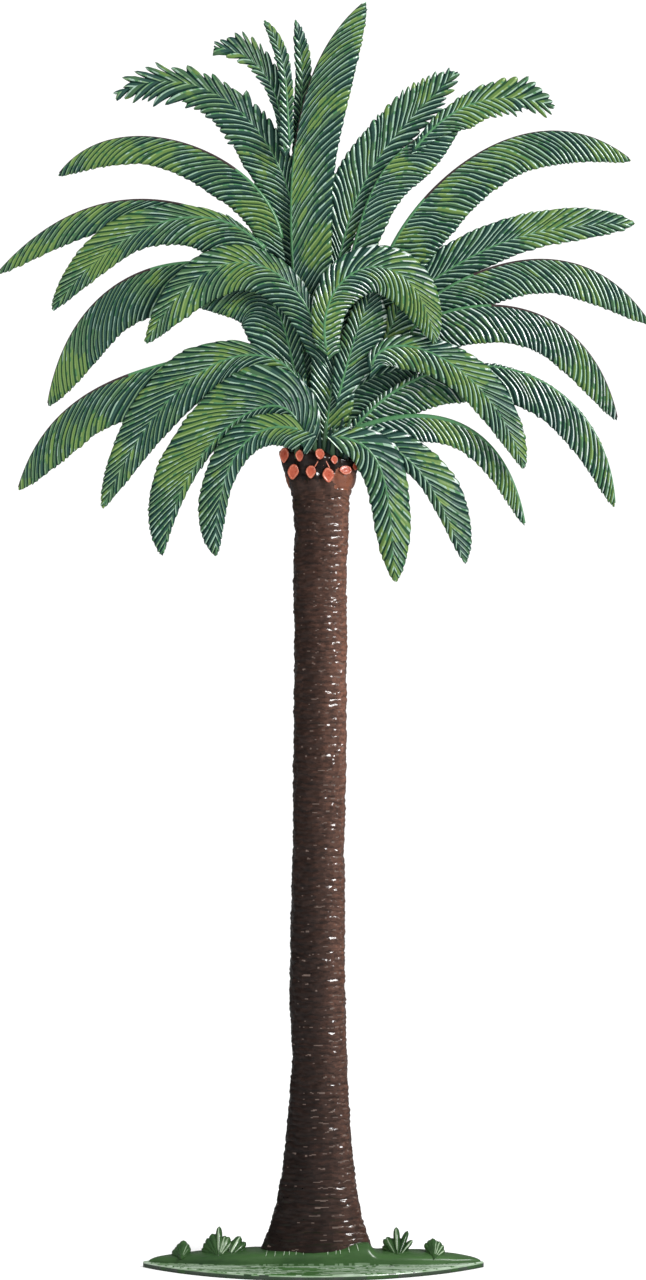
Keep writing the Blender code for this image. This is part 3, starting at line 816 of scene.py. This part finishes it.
def trunk_section(z):
    """Centre, half width and half depth of the trunk at height z."""
    rise = (z - TRUNK_FOOT) / (TRUNK_TOP - TRUNK_FOOT)
    flare = np.exp(-np.clip(z - TRUNK_FOOT, 0, None) / TRUNK_FLARE_FALL)
    swell = TRUNK_TOP_SWELL * np.clip(rise, 0, 1) ** 12
    width = TRUNK_HALF_WIDTH + TRUNK_FLARE_WIDTH * flare + swell
    depth = TRUNK_HALF_DEPTH + TRUNK_FLARE_DEPTH * flare
    heights, lefts, rights = zip(*TRUNK_WAVES)
    left = np.interp(z, heights, lefts)
    right = np.interp(z, heights, rights)
    centre = TRUNK_LEAN * rise - 0.3 * flare + (right - left) / 2
    return centre, width + (left + right) / 2, depth


def bark_slot(x, y, z, share=0.5):
    """Which bark tone a face takes: darker at the foot, painted shade on the left and in each ring's crease,
    and a painted highlight on the right and on the rings' lips.
    """
    # Painted light from the right: the left side darker, the right side lighter.
    place = BARK_SHADED_LEFT + (BARK_LIT_RIGHT - BARK_SHADED_LEFT) * within((x + 0.6) / 1.5) ** 1.2
    place -= BARK_FOOT_DARK * (1 - within((z - TRUNK_FOOT) / BARK_FOOT_REACH))
    place += 0.8 * drift(x * 2, y * 2, z * 0.1)
    # Painted shade in the ring's crease and a painted highlight on its lip, in patches.
    if drift(x * 3, y * 3, z * 0.9) > -0.12:
        place += -1.2 if share < 0.16 else 0.4 if 0.5 < share < 0.8 else 0
    # Painted highlight: pale strokes on the rings' lips, more towards the right.
    wear_and_highlight = drift(x * 6.5, y * 6.5, z * 1.6) + 0.3 * min(0.5, x)
    if 0.64 < share < 0.8 and wear_and_highlight > 0.27:
        return LIP_HIGHLIGHT_SLOT
    place += 1.1 * drift(x * 5, y * 5, z * 2.4)
    return int(min(len(BARK_TONES) - 1, max(0, round(place))))


def bark_paint(name, dark, light):
    return mixed_paint(
        name, ((0.34, dark), (0.66, light)), 900, (1, 1, 3),
        roughness=0.5, bump=0.4, grain=3600, coat=1, specular=0.12, gloss=0.1,
    )


def add_trunk(bark):
    """The trunk, its rings, lumps and pits cut into the mesh."""
    rng = np.random.default_rng(TRUNK_SEED)
    heights = np.linspace(TRUNK_FOOT - TRUNK_SINK, TRUNK_TOP + TRUNK_RISE, TRUNK_ROWS)
    count = int(RING_RUN / RING_PITCH)
    pitches = RING_PITCH + rng.uniform(-RING_PITCH_SPREAD, RING_PITCH_SPREAD, count)
    marks = np.concatenate(([0], np.cumsum(pitches)))
    ring_number = np.interp(heights, marks, np.arange(count + 1))
    shell = Shell()
    shares = []
    for z, number in zip(heights, ring_number):
        centre, width, depth = trunk_section(z)
        for angle in angles(TRUNK_SIDES):
            x = cos(angle)
            y = sin(angle)
            spot = Vector((x * 1.9, y * 1.4, z * 0.16))
            wobble = RING_WOBBLE * (noise(spot) + 0.5 * noise(spot * 3))
            share = (number + wobble) % 1
            ring = 1 - abs(2 * share - 1) ** 3 if share > CREASE else share / CREASE * 0.4
            strength = 1.2 * max(0, 0.35 + noise(Vector((x * 3.2, y * 3.2, z * 1.3)) + spot))
            lump = drift(x * 2.2, y * 2.2, z * 0.55 + 9) + 0.7 * drift(x * 3, y * 3, z * 1.3 + 4)
            pit = drift(x * 10, y * 7, z * 3.2)
            out = RING_RELIEF * (ring - 0.5) * strength + BARK_LUMP * lump + BARK_PIT * pit
            shell.points.append((centre + (width + out) * x, (depth + out) * y, z))
            shares.append(share)

    def slot_of(row, side):
        angle = 2 * pi * (side + 0.5) / TRUNK_SIDES
        return bark_slot(cos(angle), sin(angle), heights[row], shares[row * TRUNK_SIDES + side])

    shell.wrap(TRUNK_ROWS, TRUNK_SIDES, slot_of)
    # Pale paint of the painted highlight on the rings' lips.
    lip = bark_paint("bark_lip", scaled(BARK_LIP_HIGHLIGHT, 0.6), BARK_LIP_HIGHLIGHT)
    add_piece("trunk_bark", shell, bark + [lip], ["trunk"])


def collar_surface(angle, share):
    """A point of the collar's body, which swells below each stub."""
    x_way = cos(angle)
    y_way = sin(angle)
    top = COLLAR_TOP_LEFT + (COLLAR_TOP_RIGHT - COLLAR_TOP_LEFT) * (x_way + 1) / 2
    z = COLLAR_FOOT + (top - COLLAR_FOOT) * share
    spread = min(1, share * 1.25)
    foot, flare, bend = COLLAR_LEFT if x_way < 0 else COLLAR_RIGHT
    width = foot + flare * spread**bend
    depth = COLLAR_HALF_DEPTH - 0.15 + 0.25 * spread
    # The back mirrors the front.
    right = width * x_way if y_way < 0 else -width * x_way
    swell = 0
    for stub_x, stub_z, stub_width, stub_height, _ in STUBS:
        across = (right - stub_x) / (stub_width * 0.75)
        along = (z - stub_z + 0.55 * stub_height) / stub_height
        swell = max(swell, STUB_SWELL * max(0, 1 - across**2 - along**2))
    for knob_x, knob_z, half_width, half_height, knob_swell in KNOBS:
        round_off = ((right - knob_x) / half_width) ** 2 + ((z - knob_z) / half_height) ** 2
        swell = max(swell, knob_swell * sqrt(max(0, 1 - round_off)))
    rough = 0.06 * drift(x_way * 5, y_way * 5, z * 1.8)
    end = 1 - 0.35 * max(0, share - 0.86) / 0.14
    x = COLLAR_X + (width * end + swell * 0.5 + rough) * x_way
    return x, (depth * end + swell + rough) * y_way, z


def collar_slot(x, y, z):
    """Which paint the collar's body takes: the knob's, near black between the stubs, or bark."""
    right = x if y < 0 else -x
    patch = 0.4 * drift(x * 2, z * 2, 0)
    knob_x, knob_z, half_width, half_height, _ = KNOBS[0]
    near = ((right - knob_x) / half_width / 1.25) ** 2 + ((z - knob_z) / half_height / 1.3) ** 2
    if near + patch < 0.75:
        return KNOB_SLOT
    if z + 2 * patch > COLLAR_DARK_FROM:
        return 0 if patch < 0.1 else 1
    # Bark tones, with their painted shade on the left and painted light on the right.
    return bark_slot(x / 4.2, y, z)


def add_stub(shell, x, z, width, height, tilt, front):
    """One cut frond base: a lipped oval face, narrower at its lower end, its top tilted back."""
    reach = sqrt(max(0.05, 1 - (min(abs(x), 4.5) / 5.1) ** 2))
    y = -(COLLAR_HALF_DEPTH + 0.12) * reach
    turn = 0.5 * asin(max(-0.9, min(0.9, x / 5.6)))
    for share, lift in STUB_RINGS:
        for angle in angles(STUB_SIDES):
            ragged = share * (1 + 0.16 * drift(x + cos(angle), z, sin(angle)))
            across = width / 2 * ragged * cos(angle)
            narrow = 1 - 0.28 * max(0, -sin(angle))
            up = height / 2 * ragged * sin(angle)
            out = STUB_LIP * lift + 0.18
            px = x + across * narrow * cos(turn) + out * sin(turn)
            py = y + across * narrow * sin(turn) - out * cos(turn) + tilt * up
            shell.points.append((px if front else -px, py if front else -py, z + up))

    def slot_of(row, side):
        if row < 1:
            return 0
        if row < 2:
            return STUB_LIP_SLOT
        return STUB_RIM_SLOT if row < 5 and drift(x + side, row, z) > -0.1 else STUB_SLOT

    shell.wrap(len(STUB_RINGS), STUB_SIDES, slot_of, top=STUB_SLOT)


def add_collar(bark):
    """The trunk's swollen head, its cut frond bases and their paint runs."""
    shell = Shell()
    body = [
        collar_surface(angle, row / (COLLAR_ROWS - 1))
        for row in range(COLLAR_ROWS) for angle in angles(COLLAR_SIDES)
    ]
    shell.points += body
    shell.wrap(
        COLLAR_ROWS, COLLAR_SIDES, lambda row, side: collar_slot(*body[row * COLLAR_SIDES + side]), top=0
    )
    for x, z, width, height, tilt in STUBS:
        for front in (True, False) if x < STUB_FRONT_ONLY else (True,):
            add_stub(shell, x, z, width, height, tilt, front)
    for (from_x, from_z), (to_x, to_z) in PAINT_RUNS:
        y = -COLLAR_HALF_DEPTH - 0.28
        path = [(from_x + (to_x - from_x) * i / 5, y, from_z + (to_z - from_z) * i / 5) for i in range(6)]
        shell.add_rod(path, RUN_RADII, RUN_RADII, STUB_RIM_SLOT)
    paints = bark + [
        mixed_paint("stub_orange", ((0.35, STUB_ORANGE), (0.75, STUB_PALE)), 900, bump=0.9),
        mixed_paint("stub_rim", ((0.3, STUB_PALE), (0.7, STUB_RIM)), 900, bump=0.9),
        mixed_paint("stub_lip", ((0.3, BARK_RED), (0.6, STUB_ORANGE)), 900),
        mixed_paint("knob_brown", ((0.3, BARK_RED), (0.6, KNOB_BROWN)), 500, coat=1),
    ]
    add_piece("stub_collar_detail", shell, paints, ["stub_collar"])


def add_stems():
    """Slim stems that rise from the collar into the crown's heart."""
    rng = np.random.default_rng(STEM_SEED)
    shell = Shell()
    for number in range(STEM_COUNT):
        share = (number + 0.5) / STEM_COUNT * 2 - 1
        side = -1 if number % 2 else 1
        foot = (3.5 * share, side * rng.uniform(0.4, 1.7), STEM_FOOT)
        lean = share * rng.uniform(0.5, 1.7)
        top = (foot[0] + lean, side * rng.uniform(1.6, 3.2), STEM_FOOT + STEM_RISE * rng.uniform(0.7, 1))
        shares = [step / 8 for step in range(9)]
        path = [[foot[i] + (top[i] - foot[i]) * (t if i else t**1.6) for i in range(3)] for t in shares]
        radii = [STEM_RADIUS * (1 - 0.65 * t) for t in shares]
        paint = STEM_PAINTS[number % len(STEM_PAINTS)]
        shell.add_rod(path, radii, scaled(radii, STEM_FLATNESS), paint, STEM_SIDES)
    paints = [plain_paint("stem_" + name, PAINT[name][0]) for name in list(PAINT)[:EDGE_COOL + 1]]
    add_piece("heart_stems", shell, paints, [])


def plate_outline(share):
    """Half depth of the pointed-oval foot at a share of its length."""
    half = (PLATE_RIGHT - PLATE_LEFT) / 2
    radius = (half**2 + PLATE_HALF_DEPTH**2) / (2 * PLATE_HALF_DEPTH)
    reach = (2 * share - 1) * half
    return sqrt(radius**2 - reach**2) - (radius - PLATE_HALF_DEPTH)


def plate_slot(row, x, y):
    """Which paint the plate takes: bare metal and worn green on its rim, and on top pale streaks that are
    partly brushed paint and partly a painted reflection.
    """
    if row >= len(PLATE_RIM) - 3:
        # Pale streaks, more towards the ends: partly brushed paint, partly a painted reflection.
        streak_sheen = drift(x * 0.16, y * 2.6, 7) + 0.5 * drift(x * 0.7, y * 6, 2)
        return 4 if streak_sheen + 0.4 * min(1, abs(x + 1) / 14) > 0.17 else 0
    wear_and_highlight = drift(x * 0.5, y * 0.5, row)
    if row == len(PLATE_RIM) - 4 and wear_and_highlight > -0.4:
        return 3
    return 2 if wear_and_highlight > 0.25 else 1


def add_plate():
    """The thin foot, with a rounded rim and a faintly uneven top."""
    rings = PLATE_RIM + tuple((share, PLATE_THICKNESS) for share in (*np.linspace(0.92, 0.3, 26), 0.15, 0))
    sides = 2 * PLATE_STEPS
    middle = (PLATE_LEFT + PLATE_RIGHT) / 2
    shell = Shell()
    for share, height in rings:
        for step in range(sides):
            front = step < PLATE_STEPS
            along = step / PLATE_STEPS if front else 2 - step / PLATE_STEPS
            x = PLATE_LEFT + (PLATE_RIGHT - PLATE_LEFT) * along
            x = middle + (x - middle) * (1 - (1 - share) * 0.12)
            depth = plate_outline(along)
            y = max(0.0, depth - (1 - share) * PLATE_HALF_DEPTH * min(1, depth / 3))
            if share < 0.5:
                y = depth * share
            y = -y if front else y
            lift = 0.05 * drift(x * 0.35, y * 0.9, 4) if 0 < share < 0.94 and height > 0.5 else 0
            shell.points.append((x, y, max(0, height + lift)))
    points = list(shell.points)
    shell.wrap(len(rings), sides, lambda row, side: plate_slot(row, *points[row * sides + side][:2]), foot=1)
    top_finish = {"roughness": 0.42, "coat": 0, "specular": 0.12}
    paints = [
        mixed_paint(
            "plate_green", ((0.35, GROUND_GREEN), (0.55, PLATE_GREEN), (0.68, PLATE_LIGHT)),
            420, (0.25, 1.5, 1), bump=0.8, grain=900, **top_finish,
        ),
        mixed_paint("plate_rim", ((0.35, METAL_EDGE), (0.7, GROUND_DARK)), 300),
        mixed_paint("plate_edge", ((0.35, GROUND_DARK), (0.7, GROUND_GREEN)), 300),
        mixed_paint("plate_worn", ((0.35, PLATE_WORN), (0.62, BRUSH_PALE)), 300, (0.4, 1, 1)),
        # Pale streak paint: partly brushed paint, partly a painted reflection.
        mixed_paint(
            "plate_brushed_sheen", ((0.33, PLATE_BRUSHED_SHEEN), (0.58, BRUSH_PALE)), 500, (0.3, 1.5, 1), **top_finish
        ),
    ]
    add_piece("foot_plate", shell, paints, ["base_plate"])


def strip_section(x):
    """Top height and half depth of the ground strip at x."""
    reach = abs(STRIP_LEFT if x < 0 else STRIP_RIGHT)
    level = min(1, (reach - abs(x)) / (reach - STRIP_SEAT_HALF_WIDTH))
    ease = sin(max(0, level) * pi / 2)
    top = STRIP_TIP_TOP + (STRIP_SEAT_TOP - STRIP_TIP_TOP) * ease
    depth = STRIP_TIP_HALF_DEPTH + (STRIP_HALF_DEPTH - STRIP_TIP_HALF_DEPTH) * ease
    return top, depth


def strip_point(x, angle):
    """A point of the bank, from its front foot (0) over its top to its back foot (pi)."""
    top, depth = strip_section(x)
    tip = min(1, (x - STRIP_LEFT) / 1.6, (STRIP_RIGHT - x) / 1.6)
    tip = sqrt(max(0, 1 - (1 - tip) ** 2))
    low = PLATE_THICKNESS - 0.1
    rise = sin(angle) ** BANK_SQUARE
    y = -cos(angle) * depth * tip
    mound_x, mound_y, reach_left, reach_right, mound_rise = MOUND
    reach = reach_left if x < mound_x else reach_right
    near = ((x - mound_x) / reach) ** 2 + ((y - mound_y) / 2) ** 2
    lift = mound_rise * exp(-near) + SKIRT_RISE * exp(-((x / SKIRT_REACH) ** 4))
    lift += 0.1 * drift(x * 0.5, y * 0.6, 2)
    lift += 0.22 * exp(-(((x + 7.4) / 1.6) ** 2))
    return x, y, low + (top - low) * rise * tip + lift * tip * rise


def bank_angle(step):
    """Steps round the bank, closer where it rises from the plate."""
    share = step / (BANK_SIDES - 1)
    return pi * (share - 0.9 * sin(2 * pi * share) / (2 * pi))


def add_strip():
    """The bank of ground and its short strokes of grass."""
    stations = np.linspace(STRIP_LEFT, STRIP_RIGHT, 240)
    shell = Shell()
    shell.points = [strip_point(float(x), bank_angle(step)) for x in stations for step in range(BANK_SIDES)]
    shell.faces = [face[::-1] for face in ring_faces(len(stations), BANK_SIDES, closed=False)]
    for x in stations[:-1]:
        wear_and_highlight = drift(x * 1.6, 3, 0) + 0.3 * min(1, abs(x - 1) / 10) > 0.1
        shell.slots += [2 if wear_and_highlight and step in (0, BANK_SIDES - 2) else 0 for step in range(BANK_SIDES - 1)]
    for x, slant, length in GRASS_STROKES:
        spots = [strip_point(x + slant * step / 6, radians(20 + 12 * length * step)) for step in range(7)]
        path = [(spot[0], spot[1] - 0.03, spot[2] + 0.02) for spot in spots]
        shell.add_rod(path, STROKE_RADII, STROKE_RADII, 1)
    paints = [
        mixed_paint(
            "strip_green", ((0.3, GROUND_DARK), (0.5, GROUND_GREEN), (0.75, STRIP_LIGHT)),
            160, (0.6, 1.6, 1.6), roughness=0.36, bump=0.7, grain=700, coat=0.15,
        ),
        mixed_paint("grass_stroke", ((0.3, GROUND_PALE), (0.6, GRASS_LIGHT)), 900),
        mixed_paint("bank_foot", ((0.35, GROUND_GREEN), (0.6, BANK_PALE)), 700, (0.4, 1, 1)),
    ]
    add_piece("ground_bank", shell, paints, ["ground_strip"])


def add_blade(shell, foot, tip, half_width, depth, ridged):
    """One cast leaf of a tuft: a lens with a raised light rib and a round tip."""
    start = np.array((foot, TUFT_FOOT))
    end = np.array(tip)
    way = (end - start) / np.linalg.norm(end - start)
    normal = np.array((-way[1], way[0]))
    for step in range(BLADE_STEPS):
        share = step / (BLADE_STEPS - 1)
        middle = start + (end - start) * share
        wide = half_width * (0.5 + 0.5 * min(1, share / 0.5))
        wide *= sqrt(max(0.0004, 1 - max(0, (share - 0.7) / 0.3) ** 2))
        for angle in angles(BLADE_SIDES):
            across = cos(angle)
            rib = 0.16 * exp(-((across / 0.28) ** 2)) * min(1, (1 - share) * 5)
            thick = depth + (TUFT_FOOT_DEPTH - depth) * (1 - share) ** 1.4
            out = thick * (0.7 + 0.3 * abs(sin(angle)) ** 0.6) * abs(sin(angle)) ** 0.5 + rib
            out *= min(1, 0.25 + sqrt(max(0, 1 - share)) * 1.6)
            place = middle + normal * across * wide
            shell.points.append((place[0], out if sin(angle) > 0 else -out, place[1]))

    def slot_of(row, side):
        on_rib = min(side % 8, 8 - side % 8) >= 3.5
        return 1 if on_rib and ridged and 0.25 < row / BLADE_STEPS < 0.93 else 0

    shell.wrap(BLADE_STEPS, BLADE_SIDES, slot_of, top=0)


def add_tufts():
    paints = [
        mixed_paint("tuft_green", ((0.3, GROUND_DARK), (0.6, GROUND_GREEN)), 500, coat=0.6),
        mixed_paint("tuft_light", ((0.25, GROUND_GREEN), (0.5, GROUND_PALE)), 700),
    ]
    for name, fans in TUFTS:
        shell = Shell()
        for foot, blades in fans:
            for number, (x, z, half_width) in enumerate(blades):
                depth = TUFT_TIP_DEPTH * (0.6 + 0.4 * number / (len(blades) - 1))
                add_blade(shell, foot, (x, z), half_width, depth, number % 2)
        add_piece(name + "_leaves", shell, paints, [name])


def add_stage():
    """A pale floor that sweeps up into a backdrop and mirrors dim."""
    profile = [(-FLOOR_REACH_M, 0), (FLOOR_BACK_M, 0)]
    for step in range(1, SWEEP_STEPS + 1):
        turn = pi / 2 * step / SWEEP_STEPS
        profile.append((FLOOR_BACK_M + SWEEP_RADIUS_M * sin(turn), SWEEP_RADIUS_M * (1 - cos(turn))))
    profile.append((FLOOR_BACK_M + SWEEP_RADIUS_M, BACKDROP_TOP_M))
    points = [(x, y, z) for y, z in profile for x in (-FLOOR_REACH_M, FLOOR_REACH_M)]
    faces = [(2 * i, 2 * i + 1, 2 * i + 3, 2 * i + 2) for i in range(len(profile) - 1)]
    mesh = bpy.data.meshes.new("floor")
    mesh.from_pydata(points, [], faces)
    mesh.shade_smooth()
    floor = add_object("floor", mesh)
    material, tree, shader = new_material("floor_white")
    set_inputs(shader, {"Roughness": 0.9})
    path = add_node(tree, "LightPath", {})
    tone = add_node(tree, "Mix", {})
    tone.data_type = "RGBA"
    set_inputs(tone, {"A": (*[FLOOR_LEVEL] * 3, 1), "B": (*[FLOOR_IN_GLOSS] * 3, 1)})
    join(tree, path, "Is Glossy Ray", tone, "Factor")
    join(tree, tone, "Result", shader, "Base Color")
    mesh.materials.append(material)


def add_lights():
    """The lamps, and the sky that shows white but mirrors dim."""
    for name, place, width, power, mirrored in LAMPS_M:
        lamp = bpy.data.lights.new(name, "AREA")
        lamp.size = width
        lamp.energy = power
        light = add_object(name, lamp)
        light.location = place
        light.rotation_euler = (Vector(LAMP_TARGET_M) - Vector(place)).to_track_quat("-Z", "Y").to_euler()
        light.visible_glossy = mirrored
    world = bpy.data.worlds.new("studio")
    bpy.context.scene.world = world
    world.use_nodes = True
    tree = world.node_tree
    sky = tree.nodes["Background"]
    set_inputs(sky, {"Color": (1, 1, 1, 1)})
    path = add_node(tree, "LightPath", {})
    level = add_node(tree, "MapRange", {"To Min": SKY_LEVEL, "To Max": SKY_IN_GLOSS})
    join(tree, path, "Is Glossy Ray", level, "Value")
    join(tree, level, "Result", sky, "Strength")
    bpy.context.scene.view_settings.view_transform = "Standard"


def add_camera():
    data = bpy.data.cameras.new("camera")
    data.sensor_fit = "VERTICAL"
    data.sensor_height = SENSOR
    data.lens = SENSOR * CAMERA_DISTANCE * PIXELS_PER_MM / PHOTO_HEIGHT
    data.clip_start = NEAREST_M
    camera = add_object("camera", data)
    camera.location = (CAMERA_X * MM, -CAMERA_DISTANCE * MM, CAMERA_Z * MM)
    camera.rotation_euler = (radians(90), 0, 0)
    bpy.context.scene.camera = camera


bark = [
    bark_paint("bark_%d" % number, scaled(tone, 0.7), scaled(tone, 1.3))
    for number, tone in enumerate(BARK_TONES)
]
add_fronds()
add_trunk(bark)
add_collar(bark)
add_stems()
add_plate()
add_strip()
add_tufts()
add_stage()
add_lights()
add_camera()
